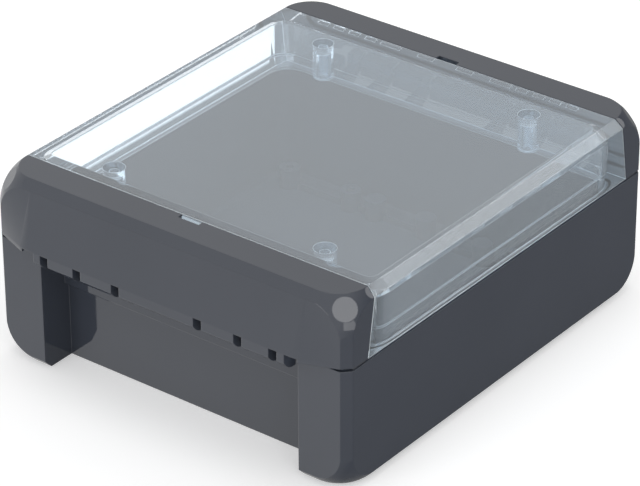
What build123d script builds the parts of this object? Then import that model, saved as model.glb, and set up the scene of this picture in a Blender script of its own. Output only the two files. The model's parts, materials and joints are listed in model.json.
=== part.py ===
from build123d import *
import os
from math import cos, radians, sin, sqrt, tan

# Plastic project box: a dark base tub, a clear lid, and a dark hinged cover over each end
# that clips on the lid's edge. X runs along the box from the front cover to the rear cover,
# Y across it, Z up. The origin is the centre of the underside.

# Overall size, without the hinge bulges of the covers
body_length = 142.5
body_width = 125.0
body_height = 60.0
seam_height = 39.1

# Outer shape
edge_band = 2.5
corner_reach = 11.9
corner_facet_radius = 3.5

# Walls
floor_thickness = 3.0
base_wall = 3.0
lid_plate = 3.0
lid_wall = 3.0
cover_wall = 2.2

# Running gaps
lid_gap = 0.15
cover_gap = 0.25
cover_rim_gap = 0.25

# Raised rim inside the base's outer edge
rim_rise = 0.6
rim_inset = 0.6
rim_end_inset = 3.2

# Feet and the end recesses between them
foot_width = 16.7
recess_depth = 11.3
ledge_depth = 9.7
ledge_height = 24.2
foot_corner_radius = 1.2
screw_hole_radius = 2.2
screw_channel_radius = 3.9
screw_seat_height = 5.0

# Inside of the tub
tub_corner_radius = 7.0
tub_floor_bevel = 1.2
board_boss_radius = 3.3
board_boss_bore = 1.3
board_boss_height = 6.5
board_boss_row = 50.0
board_boss_places = (52.0, 28.4)
board_peg_places = (18.9, 0.0)
board_rib_width = 1.2
board_rib_height = 2.0

# Seal in the rim
seal_width = 1.2
seal_depth = 1.6
seal_inset = 0.6
seal_clearance = 0.05

# Lid
cover_reach_top = 12.2
cover_reach_seam = 9.0
lid_rim_height = 5.0
lid_rim_step = 0.8
lid_corner_radius = 5.0
lid_inner_band = 2.2
lid_tube_radius = 3.2
lid_tube_bore = 1.5
lid_tube_length = 11.0
lid_tube_x = 48.2
lid_tube_y = 37.4

# Bulge of the covers over the hinge, from its faint start below the top to its full depth
bulge_start = 2.6
bulge_low_rise = 1.9
bulge_depth = 4.35
bulge_shoulder = 48.5
bulge_round = 10.0
bulge_thin = 0.02

# Hinge: hooks on the base, open outwards, hold bars in the notches of the cover's round lip
lip_radius = 4.2
lip_flat_angle = 40.0
lip_back = 0.9
hinge_rise = 0.55
lip_half = 44.5
hook_places = (40.6, 28.6, 14.6)
hook_width = 2.5
notch_clearance = 0.15
hinge_bar_radius = 1.2
hinge_bar_clearance = 0.06
bar_root = 0.5
hook_radius = 2.2
hook_reach = 0.6
hook_relief = 0.2
hook_root_height = 8.0
end_cut_half = 48.8

# Catch teeth, each with its distance from the middle and its width, and the screwdriver notch
catch_teeth = ((7.1, 5.4), (20.0, 6.8), (27.5, 3.4), (33.6, 3.4), (39.4, 3.4), (45.2, 3.4))
tooth_height = 1.2
tooth_reach = 1.0
tooth_drop = 1.9
tooth_nose = 0.3
tooth_root = 1.0
pocket_clearance = 0.25
driver_notch_width = 7.3
driver_notch_depth = 1.8

# Worked out from the sizes above
half_length = body_length / 2
half_width = body_width / 2
foot_inner = half_width - foot_width
hinge_x = half_length + bulge_depth - lip_radius
hinge_height = seam_height + hinge_rise
bulge_top = body_height - bulge_start
bulge_low = seam_height + bulge_low_rise
tub_half_length = half_length - recess_depth - base_wall
tub_half_width = half_width - base_wall
rim_height = seam_height + rim_rise
lid_bottom = rim_height + lid_gap
lid_rim_top = lid_bottom + lid_rim_height
cover_bottom = rim_height + cover_rim_gap
cover_top_edge = half_length - cover_reach_top
cover_seam_edge = half_length - cover_reach_seam
cover_slope = (cover_seam_edge - cover_top_edge) / (body_height - cover_bottom)

# How far shapes run into what they join, or past what they cut, and the two ends or sides
overlap = 1.0
beyond = 5.0
near_enough = 0.01
ends = (1, -1)


def box_between(x0, x1, y0, y1, z0, z1):
    """A box given by its limits."""
    centre = Pos((x0 + x1) / 2, (y0 + y1) / 2, (z0 + z1) / 2)
    return centre * Box(abs(x1 - x0), abs(y1 - y0), abs(z1 - z0))


def across(points, half, y=0.0):
    """A prism along Y, to half each side of y, from an outline of (x, z) points."""
    outline = Polyline(*[(x, y - half, z) for x, z in points], close=True)
    return extrude(make_face(outline), 2 * half, dir=(0, 1, 0))


def rod_across(radius, y0, y1, x, z):
    """A round rod along Y."""
    return Pos(x, (y0 + y1) / 2, z) * Rot(90, 0, 0) * Cylinder(radius, abs(y1 - y0))


def rounded_prism(half_x, half_y, z0, z1, radius):
    """An upright prism with rounded corners."""
    plan = RectangleRounded(2 * half_x, 2 * half_y, radius)
    return Pos(0, 0, z0) * extrude(plan, z1 - z0)


def both_ends(shape):
    """A shape made at the rear end, and its turned copy at the front end."""
    return shape + Rot(0, 0, 180) * shape


def edge_x(z):
    """Where the cover's leaning inner edge lies at a height."""
    return cover_top_edge + cover_slope * (body_height - z)


def bulge(inset, bottom):
    """The rear cover's swelling over the hinge, with its skin moved in by inset."""
    front = half_length - inset
    back = half_length - corner_reach
    side = half_width - edge_band - inset
    shoulder = bulge_shoulder - inset

    def section(z, depth):
        swell = FilletPolyline(
            (front, -side, z),
            (front + depth, -shoulder, z),
            (front + depth, shoulder, z),
            (front, side, z),
            radius=bulge_round,
        )
        rest = Polyline((front, side, z), (back, side, z), (back, -side, z), (front, -side, z))
        return make_face(swell + rest)

    leaning = loft([section(bulge_low, bulge_depth), section(bulge_top, bulge_thin)], ruled=True)
    upright = extrude(section(bottom, bulge_depth), bulge_low - bottom, dir=(0, 0, 1))
    return leaning + upright


def ball_radius(reach, band):
    """The radius of a ball corner that meets the ends of the flat bands."""
    return sqrt(reach ** 2 + (reach - band) ** 2)


def outer_form(inset, bulge_bottom):
    """The closed box's outer shape, moved in by inset: flat bands, ball corners and bulges."""
    band = edge_band - inset * (2 - sqrt(2))
    reach = corner_reach - inset
    radius = ball_radius(reach, band)
    length = body_length - 2 * inset
    width = body_width - 2 * inset
    height = body_height - 2 * inset
    form = Pos(0, 0, body_height / 2) * Box(length, width, height)
    form = chamfer(form.edges(), band)
    form += both_ends(bulge(inset, bulge_bottom))
    size = reach + bulge_depth + overlap
    for sx in ends:
        for sy in ends:
            for sz in ends:
                centre = Vector(
                    sx * (length / 2 - reach),
                    sy * (width / 2 - reach),
                    body_height / 2 + sz * (height / 2 - reach),
                )
                corner = Pos(centre + Vector(sx, sy, sz) * size / 2) * Box(size, size, size)
                form -= corner - Pos(centre) * Sphere(radius)
    return form


def facet_cutters():
    """Blocks that cut a round flat on each upper corner."""
    radius = ball_radius(corner_reach, edge_band)
    depth = sqrt(radius ** 2 - corner_facet_radius ** 2)
    cutters = []
    for sx in ends:
        for sy in ends:
            centre = Vector(
                sx * (half_length - corner_reach),
                sy * (half_width - corner_reach),
                body_height - corner_reach,
            )
            normal = Vector(sx, sy, 1).normalized()
            plane = Plane(origin=centre + normal * depth, z_dir=normal)
            block = Box(2 * corner_reach, 2 * corner_reach, corner_reach)
            cutters.append(plane * Pos(0, 0, corner_reach / 2) * block)
    return cutters


def hook(y):
    """One hinge hook of the base: a rib from the end wall to jaws that are open outwards."""
    root_x = half_length - recess_depth
    outline = [
        (root_x, hinge_height),
        (hinge_x, hinge_height),
        (hinge_x, hinge_height - hook_radius),
        (root_x, hinge_height - hook_radius - hook_root_height),
    ]
    form = across(outline, hook_width / 2, y)
    form += rod_across(hook_radius, y - hook_width / 2, y + hook_width / 2, hinge_x, hinge_height)
    hole_radius = hinge_bar_radius + hinge_bar_clearance
    form -= rod_across(hole_radius, y - hook_width, y + hook_width, hinge_x, hinge_height)
    form -= box_between(hinge_x + hook_reach, hinge_x + 2 * hook_radius, y - hook_width,
                        y + hook_width, hinge_height - 2 * hook_radius,
                        hinge_height + 2 * hook_radius)
    return form


def hooks():
    """The row of hinge hooks at the rear end."""
    row = None
    for place in hook_places:
        for sy in ends:
            piece = hook(sy * place)
            row = piece if row is None else row + piece
    return row


def foot_top_corners(form):
    """The edges where each foot's inner side meets its top."""
    found = []
    for edge in form.edges().filter_by(Axis.X):
        middle = edge.center()
        if abs(abs(middle.Y) - foot_inner) < near_enough and (
            abs(middle.Z - seam_height) < near_enough
        ):
            found.append(edge)
    return found


def base_outside():
    """The tub's outside, with feet, the stepped recess at each end and the raised rim."""
    form = outer_form(0, cover_bottom)
    form -= box_between(-body_length, body_length, -body_width, body_width, seam_height,
                        2 * body_height)
    lower = box_between(half_length - recess_depth, half_length + beyond, -foot_inner, foot_inner,
                        -beyond, ledge_height)
    upper = box_between(half_length - ledge_depth, half_length + beyond, -foot_inner, foot_inner,
                        ledge_height, seam_height + beyond)
    form -= both_ends(lower + upper)
    form = fillet(foot_top_corners(form), foot_corner_radius)
    rim_x = half_length - rim_end_inset
    rim_y = half_width - rim_inset
    rim = box_between(-rim_x, rim_x, -rim_y, rim_y, seam_height - overlap,
                      rim_height)
    open_half = foot_inner + 2 * foot_corner_radius
    rim -= both_ends(box_between(half_length - ledge_depth, half_length, -open_half, open_half, 0,
                                 body_height))
    return form + rim


def screw_channels():
    """Channels in the corner columns, each with a screw hole through the foot."""
    cut = None
    for sx in ends:
        for sy in ends:
            x = sx * (half_length - recess_depth / 2)
            y = sy * (half_width - foot_width / 2)
            hole = Pos(x, y, body_height / 2) * Cylinder(screw_hole_radius, 2 * body_height)
            height = body_height - screw_seat_height
            middle = screw_seat_height + height / 2
            hole += Pos(x, y, middle) * Cylinder(screw_channel_radius, height)
            cut = hole if cut is None else cut + hole
    return cut


def both_sides(places):
    """Each place and its mirror image across the middle."""
    return sorted({place * side for place in places for side in ends})


def board_bosses(x):
    """A row of bosses with screw holes, and plain pegs, joined by a low rib."""
    reach = max(board_boss_places)
    row = box_between(x - board_rib_width / 2, x + board_rib_width / 2, -reach, reach,
                      floor_thickness - overlap, floor_thickness + board_rib_height)
    height = board_boss_height + overlap
    top = floor_thickness + board_boss_height
    for y in both_sides(board_boss_places + board_peg_places):
        row += Pos(x, y, top - height / 2) * Cylinder(board_boss_radius, height)
    for y in both_sides(board_boss_places):
        row -= Pos(x, y, top) * Cylinder(board_boss_bore, 2 * board_boss_height)
    return row


def seal_loop(extra, z0, z1):
    """The loop that the seal follows in the rim, widened by extra on each side."""
    near = seal_inset - extra
    far = seal_inset + seal_width + extra
    outer = rounded_prism(tub_half_length + far, tub_half_width + far, z0, z1,
                          tub_corner_radius + far)
    inner = rounded_prism(tub_half_length + near, tub_half_width + near, z0 - overlap,
                          z1 + overlap, tub_corner_radius + near)
    return outer - inner


def make_base():
    """The base moulding."""
    form = base_outside()
    cavity = rounded_prism(tub_half_length, tub_half_width, floor_thickness, body_height,
                           tub_corner_radius)
    form -= chamfer(cavity.faces().sort_by(Axis.Z)[0].edges(), tub_floor_bevel)
    form -= screw_channels()
    form -= seal_loop(seal_clearance, rim_height - seal_depth, body_height)
    form += both_ends(board_bosses(board_boss_row))
    form += both_ends(hooks())
    return form


def make_seal():
    """The soft loop in the groove, just touching the lid."""
    return seal_loop(0, rim_height - seal_depth, lid_bottom)


def catch_tooth(y, width, grow):
    """A tooth on the cover's inner edge with a sloping top, grown for the pocket in the lid."""
    top = body_height - tooth_drop + grow
    low = body_height - tooth_drop - tooth_height - grow
    tip = edge_x(low) - cover_gap - tooth_reach - grow
    outline = [
        (edge_x(top) + tooth_root, top),
        (edge_x(top) - cover_gap, top),
        (tip, low + tooth_nose),
        (tip, low),
        (edge_x(low) + tooth_root, low),
    ]
    return across(outline, width / 2 + grow, y)


def cover_region(gap, z_low):
    """The space over the end of the box, outside the cover's leaning inner edge."""
    outline = [
        (edge_x(z_low) + gap, z_low),
        (edge_x(body_height) + gap, body_height),
        (edge_x(body_height) + gap, body_height + beyond),
        (half_length + 2 * beyond, body_height + beyond),
        (half_length + 2 * beyond, z_low),
    ]
    return across(outline, body_width)


def open_front(y0, y1):
    """What a notch takes from the cover's lower edge between two places."""
    window = box_between(half_length - beyond, half_length + 2 * beyond, y0, y1, 0, bulge_low)
    return window + rod_across(hook_radius + hook_relief, y0, y1, hinge_x, hinge_height)


def lip():
    """The round lip that runs along the cover's lower edge, with a flat under its front."""
    lean = radians(lip_flat_angle)
    under_front = [
        (hinge_x, hinge_height),
        (hinge_x + lip_radius, hinge_height),
        (hinge_x + lip_radius, hinge_height - lip_radius * tan(lean / 2)),
        (hinge_x + lip_radius * cos(lean), hinge_height - lip_radius * sin(lean)),
    ]
    form = rod_across(lip_radius, -lip_half, lip_half, hinge_x, hinge_height)
    form += across(under_front, lip_half)
    return form & box_between(hinge_x - lip_back, half_length + 2 * beyond, -lip_half, lip_half,
                              0, bulge_low)


def make_rear_cover(outside):
    """The cover of the rear end, from the closed box's outer shape."""
    shell = outside & cover_region(0, cover_bottom)
    shell -= outer_form(cover_wall, hinge_height - beyond) & cover_region(-beyond, 0)
    shell += lip()
    half = hook_width / 2 + notch_clearance
    for y in both_sides(hook_places):
        shell -= open_front(y - half, y + half)
        shell += rod_across(hinge_bar_radius, y - half - bar_root, y + half + bar_root,
                            hinge_x, hinge_height)
    for side in ends:
        shell -= box_between(half_length - beyond, half_length + 2 * beyond, side * lip_half,
                             side * end_cut_half, 0, bulge_low)
    for place, width in catch_teeth:
        for sy in ends:
            shell += catch_tooth(sy * place, width, 0)
    shell -= box_between(cover_top_edge - overlap, cover_top_edge + driver_notch_depth,
                         -driver_notch_width / 2, driver_notch_width / 2,
                         body_height - 2 * cover_wall, body_height + overlap)
    return shell


def make_lid(outside):
    """The clear lid."""
    form = outside & box_between(-half_length, half_length, -half_width, half_width, lid_bottom,
                                 body_height)
    form -= both_ends(cover_region(-cover_gap, 0))
    inner_x = cover_top_edge - cover_gap - lid_wall
    inner_y = half_width - lid_wall
    ceiling = body_height - lid_plate
    cavity = rounded_prism(inner_x, inner_y, lid_rim_top, ceiling, lid_corner_radius)
    form -= chamfer(cavity.faces().sort_by(Axis.Z)[-1].edges(), lid_inner_band)
    form -= rounded_prism(tub_half_length - lid_rim_step, tub_half_width - lid_rim_step, 0,
                          lid_rim_top, tub_corner_radius)
    for sx in ends:
        for sy in ends:
            place = Pos(sx * lid_tube_x, sy * lid_tube_y, ceiling)
            form += place * Cylinder(lid_tube_radius, 2 * lid_tube_length)
            form -= place * Pos(0, 0, -lid_tube_length) * Cylinder(
                lid_tube_bore, 2 * (lid_tube_length - lid_plate)
            )
    form -= Pos(0, 0, body_height + lid_tube_length) * Box(body_length, body_width,
                                                           2 * lid_tube_length)
    for place, width in catch_teeth:
        for sy in ends:
            form -= both_ends(catch_tooth(sy * place, width, pocket_clearance))
    return form


def save(shape, name):
    """Writes one node."""
    shape.label = name
    export_step(shape, f"parts/{name}.step")


def main():
    os.makedirs("parts", exist_ok=True)
    outside = outer_form(0, cover_bottom)
    for cutter in facet_cutters():
        outside -= cutter
    rear_cover = make_rear_cover(outside)
    save(make_base(), "base")
    save(make_seal(), "seal")
    save(make_lid(outside), "lid")
    save(rear_cover, "rear_cover")
    save(Rot(0, 0, 180) * rear_cover, "front_cover")


main()
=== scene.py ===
import json
import math

import bpy
from mathutils import Matrix, Vector

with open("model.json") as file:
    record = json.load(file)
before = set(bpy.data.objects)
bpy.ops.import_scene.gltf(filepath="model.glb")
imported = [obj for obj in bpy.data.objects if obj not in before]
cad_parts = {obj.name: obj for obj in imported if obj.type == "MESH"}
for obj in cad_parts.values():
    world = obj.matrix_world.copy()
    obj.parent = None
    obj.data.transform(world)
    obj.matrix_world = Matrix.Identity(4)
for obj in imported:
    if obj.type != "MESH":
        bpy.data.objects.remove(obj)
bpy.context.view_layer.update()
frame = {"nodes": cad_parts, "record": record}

# Camera: where it stands, the way it looks, its lens, and the nearest and farthest it sees
CAMERA_PLACE = (-0.72156, -0.55680, 0.55025)
CAMERA_AZIMUTH = 37.737
CAMERA_ELEVATION = 29.949
CAMERA_ROLL = -0.26
CAMERA_LENS = 204.61
SENSOR_WIDTH = 36.0
CAMERA_NEAREST = 0.01
CAMERA_FARTHEST = 50

# Square lamps: place, size, and brightness as a surface. All look at one point in the box
LAMPS = {
    "key": ((-1.9, 0.35, 0.75), 0.9, 2.6),
    "top": ((0.1, 0.1, 2.0), 1.0, 1.45),
    "corner_light": ((-0.92, -1.25, 1.32), 0.42, 3.1),
    "band_light": ((1.72, -1.24, 1.26), 1.05, 2.4),
    "side_fill": ((-1.1, -1.7, 0.30), 0.8, 2.1),
}
LAMP_AIM = (0, 0, 0.03)

# Floor
FLOOR_SIZE = 8.0
FLOOR_DROP = 0.0001
FLOOR_COLOUR = (0.90, 0.90, 0.90, 1)
FLOOR_GLOW = 0.36

# Painted shade and light on the floor where it is seen through the closed lid: painted shade by the
# box, a painted bright strip beside it, plain beyond
FLOOR_PAINTED_SHADE_LEVEL = 0.15
FLOOR_PAINTED_LIGHT_LEVEL = 2.1
FLOOR_FAR_DROP = 1.3
FLOOR_STRIP_START = (0.1135, 0.1155)
FLOOR_STRIP_END = (0.17, 0.20)
FLOOR_END_EXTRA = 0.02
# Light through the top and a wall of the lid crosses four faces, light through one wall two
MORE_THAN_ONE_WALL = 2.5

# Surroundings as light, and as gloss shows them: bright on one side, darker on the other
WORLD_LEVEL = 0.62
BACKGROUND_LEVEL = 1.0
GLOSS_BRIGHT = 1.15
GLOSS_DIM = 0.24
GLOSS_SIDE = (-0.755, 0.656, 0.5)
GLOSS_SPREAD = (-0.55, 0.25)
# Light that has turned inside the clear plastic comes out weaker
INNER_LEVEL = 0.42
ONCE_OR_MORE = 0.5
WHITE = (1, 1, 1, 1)

# Most of a noise's values lie between these. Each noise has a scale, a detail and a roughness
NOISE_LOW = 0.3
NOISE_HIGH = 0.7

# Dark moulded plastic, as linear colours
DARK_COLOUR = (0.051, 0.058, 0.075, 1)
DARK_COLOUR_DEEP = (0.046, 0.053, 0.069, 1)
DARK_IOR = 1.5
DARK_ROUGHNESS = (0.04, 0.09)
DARK_EDGE = 0.00035
DARK_EDGE_SAMPLES = 6
CLOUD_NOISE = (22.0, 4.0, 0.55)
GLOSS_NOISE = (95.0, 5.0, 0.6)
SKIN_NOISE = (420.0, 2.0, 0.5)
SKIN_DEPTH = 0.000004
GRAIN_NOISE = (2600.0, 2.0, 0.5)
GRAIN_DEPTH = 0.0000012

# Clear moulded plastic: its long side walls are a little clearer, as painted light that brightens
# them, and its edges scatter light and look pale, as painted highlight lines
CLEAR_COLOUR = (0.885, 0.95, 1.0, 1)
CLEAR_IOR = 1.5
CLEAR_ROUGHNESS = (0.0, 0.006)
CLEAR_WEIGHT = 0.86
CLEAR_SIDE_PAINTED_LIGHT_WEIGHT = 0.895
CLEAR_SIDE_TURN = (0.75, 0.95)
CLEAR_EDGE = 0.0004
CLEAR_EDGE_SAMPLES = 8
CLEAR_EDGE_PAINTED_HIGHLIGHT_WEIGHT = 0.22
CLEAR_EDGE_TURN = (0.85, 0.99)
HAZE_NOISE = (60.0, 4.0, 0.5)
RIPPLE_NOISE = (140.0, 2.0, 0.5)
RIPPLE_DEPTH = 0.000002

# Seal
SEAL_COLOUR = (0.016, 0.016, 0.017, 1)
SEAL_COLOUR_PALE = (0.034, 0.034, 0.035, 1)
SEAL_ROUGHNESS = 0.8
CELL_NOISE = (3200.0, 3.0, 0.6)
CELL_DEPTH = 0.00004


def make_camera():
    """The camera at the photograph's place and angle."""
    azimuth = math.radians(CAMERA_AZIMUTH)
    elevation = math.radians(CAMERA_ELEVATION)
    roll = math.radians(CAMERA_ROLL)
    back = Vector((-math.cos(azimuth) * math.cos(elevation),
                   -math.sin(azimuth) * math.cos(elevation),
                   math.sin(elevation)))
    right = (-back).cross(Vector((0, 0, 1))).normalized()
    up = back.cross(right)
    turned_right = right * math.cos(roll) + up * math.sin(roll)
    turned_up = up * math.cos(roll) - right * math.sin(roll)
    data = bpy.data.cameras.new("camera")
    data.lens = CAMERA_LENS
    data.sensor_width = SENSOR_WIDTH
    data.sensor_fit = "HORIZONTAL"
    data.clip_start = CAMERA_NEAREST
    data.clip_end = CAMERA_FARTHEST
    camera = bpy.data.objects.new("camera", data)
    axes = Matrix((turned_right, turned_up, back)).transposed()
    camera.matrix_world = Matrix.Translation(Vector(CAMERA_PLACE)) @ axes.to_4x4()
    bpy.context.scene.collection.objects.link(camera)
    bpy.context.scene.camera = camera


def make_lamps():
    """Key and top lamps, one each that the corner flats and top edges show, and a low side fill."""
    for name, (place, size, brightness) in LAMPS.items():
        data = bpy.data.lights.new(name, "AREA")
        data.shape = "SQUARE"
        data.size = size
        data.energy = brightness * math.pi * size * size
        lamp = bpy.data.objects.new(name, data)
        lamp.location = place
        aim = Vector(LAMP_AIM) - lamp.location
        lamp.rotation_mode = "QUATERNION"
        lamp.rotation_quaternion = aim.to_track_quat("-Z", "Y")
        bpy.context.scene.collection.objects.link(lamp)


class Nodes:
    """Short calls for building the node tree of a material or of the world."""

    def __init__(self, owner):
        owner.use_nodes = True
        self.tree = owner.node_tree
        self.tree.nodes.clear()

    def add(self, kind, inputs=None, **settings):
        """A new node. Each of its inputs named here gets a value, or a link from a socket."""
        node = self.tree.nodes.new(kind)
        for key, value in settings.items():
            setattr(node, key, value)
        for key, source in (inputs or {}).items():
            if isinstance(source, bpy.types.NodeSocket):
                self.tree.links.new(source, node.inputs[key])
            else:
                node.inputs[key].default_value = source
        return node

    def noise(self, scale, detail, roughness):
        """Noise that stays with the object."""
        place = self.add("ShaderNodeTexCoord").outputs["Object"]
        inputs = {"Vector": place, "Scale": scale, "Detail": detail, "Roughness": roughness}
        return self.add("ShaderNodeTexNoise", inputs).outputs["Fac"]

    def ramp(self, source, low, high, start=NOISE_LOW, end=NOISE_HIGH):
        """Goes from low to high while the source goes from start to end."""
        inputs = {"Value": source, "From Min": start, "From Max": end, "To Min": low, "To Max": high}
        return self.add("ShaderNodeMapRange", inputs).outputs["Result"]

    def soft_edges(self, radius, samples):
        """The surface's direction, rounded at its edges."""
        return self.add("ShaderNodeBevel", {"Radius": radius}, samples=samples).outputs["Normal"]

    def bump(self, source, depth, normal=None):
        """The surface's direction with small heights on it."""
        inputs = {"Height": source, "Distance": depth}
        if normal is not None:
            inputs["Normal"] = normal
        return self.add("ShaderNodeBump", inputs).outputs["Normal"]

    def calculate(self, operation, *sources):
        """Arithmetic on sockets or numbers."""
        inputs = dict(enumerate(sources))
        return self.add("ShaderNodeMath", inputs, operation=operation).outputs["Value"]

    def dot(self, first, second):
        """The dot product of two directions."""
        inputs = {0: first, 1: second}
        return self.add("ShaderNodeVectorMath", inputs, operation="DOT_PRODUCT").outputs["Value"]

    def blend(self, factor, first, second):
        """A number between two, as the factor goes from 0 to 1."""
        inputs = {"Factor": factor, "A": first, "B": second}
        return self.add("ShaderNodeMix", inputs, data_type="FLOAT").outputs["Result"]

    def blend_colours(self, factor, first, second):
        """A colour between two, as the factor goes from 0 to 1."""
        node = self.add("ShaderNodeMix", {"Factor": factor}, data_type="RGBA")
        colours = [socket for socket in node.inputs if socket.type == "RGBA"]
        for socket, colour in zip(colours, (first, second)):
            socket.default_value = colour
        return [socket for socket in node.outputs if socket.type == "RGBA"][0]

    def blend_shaders(self, factor, first, second):
        """The first shader where the factor is 0, the second where it is 1."""
        return self.add("ShaderNodeMixShader", {0: factor, 1: first, 2: second}).outputs["Shader"]

    def glow(self, strength):
        """A white shine of its own."""
        return self.add("ShaderNodeEmission", {"Strength": strength}).outputs["Emission"]


def new_material(name):
    """An empty material and the calls that build it."""
    material = bpy.data.materials.new(name)
    return material, Nodes(material)


def dark_plastic():
    """Glossy dark grey moulding: faint flow clouding, fine skin and softened edges."""
    material, n = new_material("dark_plastic")
    clouds = n.ramp(n.noise(*CLOUD_NOISE), 0.0, 1.0)
    edges = n.soft_edges(DARK_EDGE, DARK_EDGE_SAMPLES)
    skin = n.bump(n.noise(*SKIN_NOISE), SKIN_DEPTH, edges)
    shader = n.add("ShaderNodeBsdfPrincipled", {
        "Base Color": n.blend_colours(clouds, DARK_COLOUR_DEEP, DARK_COLOUR),
        "IOR": DARK_IOR,
        "Roughness": n.ramp(n.noise(*GLOSS_NOISE), *DARK_ROUGHNESS),
        "Normal": n.bump(n.noise(*GRAIN_NOISE), GRAIN_DEPTH, skin),
    })
    n.add("ShaderNodeOutputMaterial", {"Surface": shader.outputs["BSDF"]})
    return material


def clear_weight_and_painted_light(n, edges):
    """How much light passes: more in the long side walls, as painted light that brightens them, and
    little at the edges, which look pale as painted highlight lines.
    """
    face = n.add("ShaderNodeNewGeometry").outputs["Normal"]
    facing = n.add("ShaderNodeSeparateXYZ", {"Vector": face})
    sideways = n.calculate("ABSOLUTE", facing.outputs["Y"])
    # Painted light: walls facing sideways let more through, so they read brighter
    flat_with_painted_side_light = n.ramp(sideways, CLEAR_WEIGHT, CLEAR_SIDE_PAINTED_LIGHT_WEIGHT, *CLEAR_SIDE_TURN)
    # Painted highlight: the rounded edges let little through and look pale
    return n.ramp(n.dot(edges, face), CLEAR_EDGE_PAINTED_HIGHLIGHT_WEIGHT, flat_with_painted_side_light, *CLEAR_EDGE_TURN)


def clear_plastic():
    """Clear, faintly blue moulding that lets the lamps shine into the box."""
    material, n = new_material("clear_plastic")
    edges = n.soft_edges(CLEAR_EDGE, CLEAR_EDGE_SAMPLES)
    shader = n.add("ShaderNodeBsdfPrincipled", {
        "Base Color": CLEAR_COLOUR,
        "IOR": CLEAR_IOR,
        "Roughness": n.ramp(n.noise(*HAZE_NOISE), *CLEAR_ROUGHNESS),
        # Transmission weight carries painted light on the side walls and painted highlight lines at
        # the edges
        "Transmission Weight": clear_weight_and_painted_light(n, edges),
        "Normal": n.bump(n.noise(*RIPPLE_NOISE), RIPPLE_DEPTH, edges),
    })
    open_way = n.add("ShaderNodeBsdfTransparent", {"Color": CLEAR_COLOUR})
    path = n.add("ShaderNodeLightPath").outputs
    lighting = n.calculate("MAXIMUM", path["Is Shadow Ray"], path["Is Diffuse Ray"])
    surface = n.blend_shaders(lighting, shader.outputs["BSDF"], open_way.outputs["BSDF"])
    n.add("ShaderNodeOutputMaterial", {"Surface": surface})
    return material


def seal_rubber():
    """Matt foam rubber with a fine closed cell."""
    material, n = new_material("seal_rubber")
    cells = n.noise(*CELL_NOISE)
    shader = n.add("ShaderNodeBsdfPrincipled", {
        "Base Color": n.blend_colours(n.ramp(cells, 0.0, 1.0), SEAL_COLOUR, SEAL_COLOUR_PALE),
        "Roughness": SEAL_ROUGHNESS,
        "Normal": n.bump(cells, CELL_DEPTH),
    })
    n.add("ShaderNodeOutputMaterial", {"Surface": shader.outputs["BSDF"]})
    return material


def painted_floor_shade_and_light(n):
    """Painted shade and light on the floor seen through the closed lid, by the distance from the
    box's middle.
    """
    place = n.add("ShaderNodeTexCoord").outputs["Object"]
    split = n.add("ShaderNodeSeparateXYZ", {"Vector": place})
    sideways = n.calculate("ABSOLUTE", split.outputs["Y"])
    lengthways = n.calculate("ABSOLUTE", split.outputs["X"])
    shorter = n.calculate("SUBTRACT", lengthways, FLOOR_END_EXTRA)
    away = n.calculate("MAXIMUM", sideways, shorter)
    # Painted shade by the box, rising to a painted bright strip beside it
    rise = n.ramp(away, FLOOR_PAINTED_SHADE_LEVEL, FLOOR_PAINTED_LIGHT_LEVEL, *FLOOR_STRIP_START)
    fall = n.ramp(away, 0.0, FLOOR_FAR_DROP, *FLOOR_STRIP_END)
    return n.calculate("SUBTRACT", rise, fall)


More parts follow.
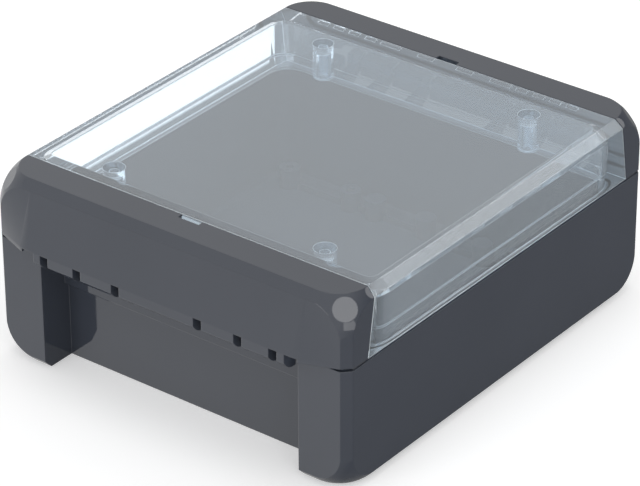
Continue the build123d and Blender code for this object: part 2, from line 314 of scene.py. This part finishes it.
def floor_material():
    """White floor that keeps the shadow; where the closed lid shows it, it glows with painted shade
    by the box and painted light beside it.
    """
    material, n = new_material("floor")
    path = n.add("ShaderNodeLightPath").outputs
    seen = n.calculate("MAXIMUM", path["Is Camera Ray"], path["Is Transmission Ray"])
    matt = n.add("ShaderNodeBsdfDiffuse", {"Color": FLOOR_COLOUR}).outputs["BSDF"]
    shine = n.glow(n.calculate("MULTIPLY", seen, FLOOR_GLOW))
    lit = n.add("ShaderNodeAddShader", {0: matt, 1: shine}).outputs["Shader"]
    crossed = n.calculate("GREATER_THAN", path["Transmission Depth"], MORE_THAN_ONE_WALL)
    through_lid = n.calculate("MULTIPLY", crossed, path["Is Transmission Ray"])
    # Seen through the lid, the floor shows only its painted shade and light
    surface = n.blend_shaders(through_lid, lit, n.glow(painted_floor_shade_and_light(n)))
    n.add("ShaderNodeOutputMaterial", {"Surface": surface})
    return material


def make_floor():
    """The floor under the box, which carries painted shade and light where the closed lid shows it.
    """
    half = FLOOR_SIZE / 2
    mesh = bpy.data.meshes.new("floor")
    corners = [(-half, -half, 0), (half, -half, 0), (half, half, 0), (-half, half, 0)]
    mesh.from_pydata(corners, [], [(0, 1, 2, 3)])
    floor = bpy.data.objects.new("floor", mesh)
    floor.location = (0, 0, -FLOOR_DROP)
    floor.data.materials.append(floor_material())
    floor.visible_glossy = False
    bpy.context.scene.collection.objects.link(floor)


def make_world():
    """White where it is seen straight on, shaded from side to side where gloss shows it."""
    world = bpy.data.worlds.new("surroundings")
    bpy.context.scene.world = world
    n = Nodes(world)
    path = n.add("ShaderNodeLightPath").outputs
    direction = n.add("ShaderNodeTexCoord").outputs["Generated"]
    gloss = n.ramp(n.dot(direction, GLOSS_SIDE), GLOSS_DIM, GLOSS_BRIGHT, *GLOSS_SPREAD)
    through = n.calculate("GREATER_THAN", path["Transmission Depth"], ONCE_OR_MORE)
    bounced = n.calculate("GREATER_THAN", path["Glossy Depth"], ONCE_OR_MORE)
    turned = n.blend(n.calculate("MULTIPLY", through, bounced), gloss, INNER_LEVEL)
    shown = n.blend(bounced, BACKGROUND_LEVEL, turned)
    straight = n.calculate("MAXIMUM", path["Is Camera Ray"], path["Is Glossy Ray"])
    background = n.calculate("MAXIMUM", straight, path["Is Transmission Ray"])
    level = n.blend(background, WORLD_LEVEL, shown)
    sky = n.add("ShaderNodeBackground", {"Color": WHITE, "Strength": level})
    n.add("ShaderNodeOutputWorld", {"Surface": sky.outputs["Background"]})


def dress(materials):
    """Gives each CAD node the material of its slot."""
    for part in frame["record"]["subparts"]:
        node = frame["nodes"][part["node"]]
        node.data.materials.clear()
        node.data.materials.append(materials[part["material_slot"]])


make_camera()
make_world()
make_floor()
make_lamps()
dress({
    "dark_plastic": dark_plastic(),
    "clear_plastic": clear_plastic(),
    "seal_rubber": seal_rubber(),
})

bpy.context.scene.view_settings.view_transform = "Standard"
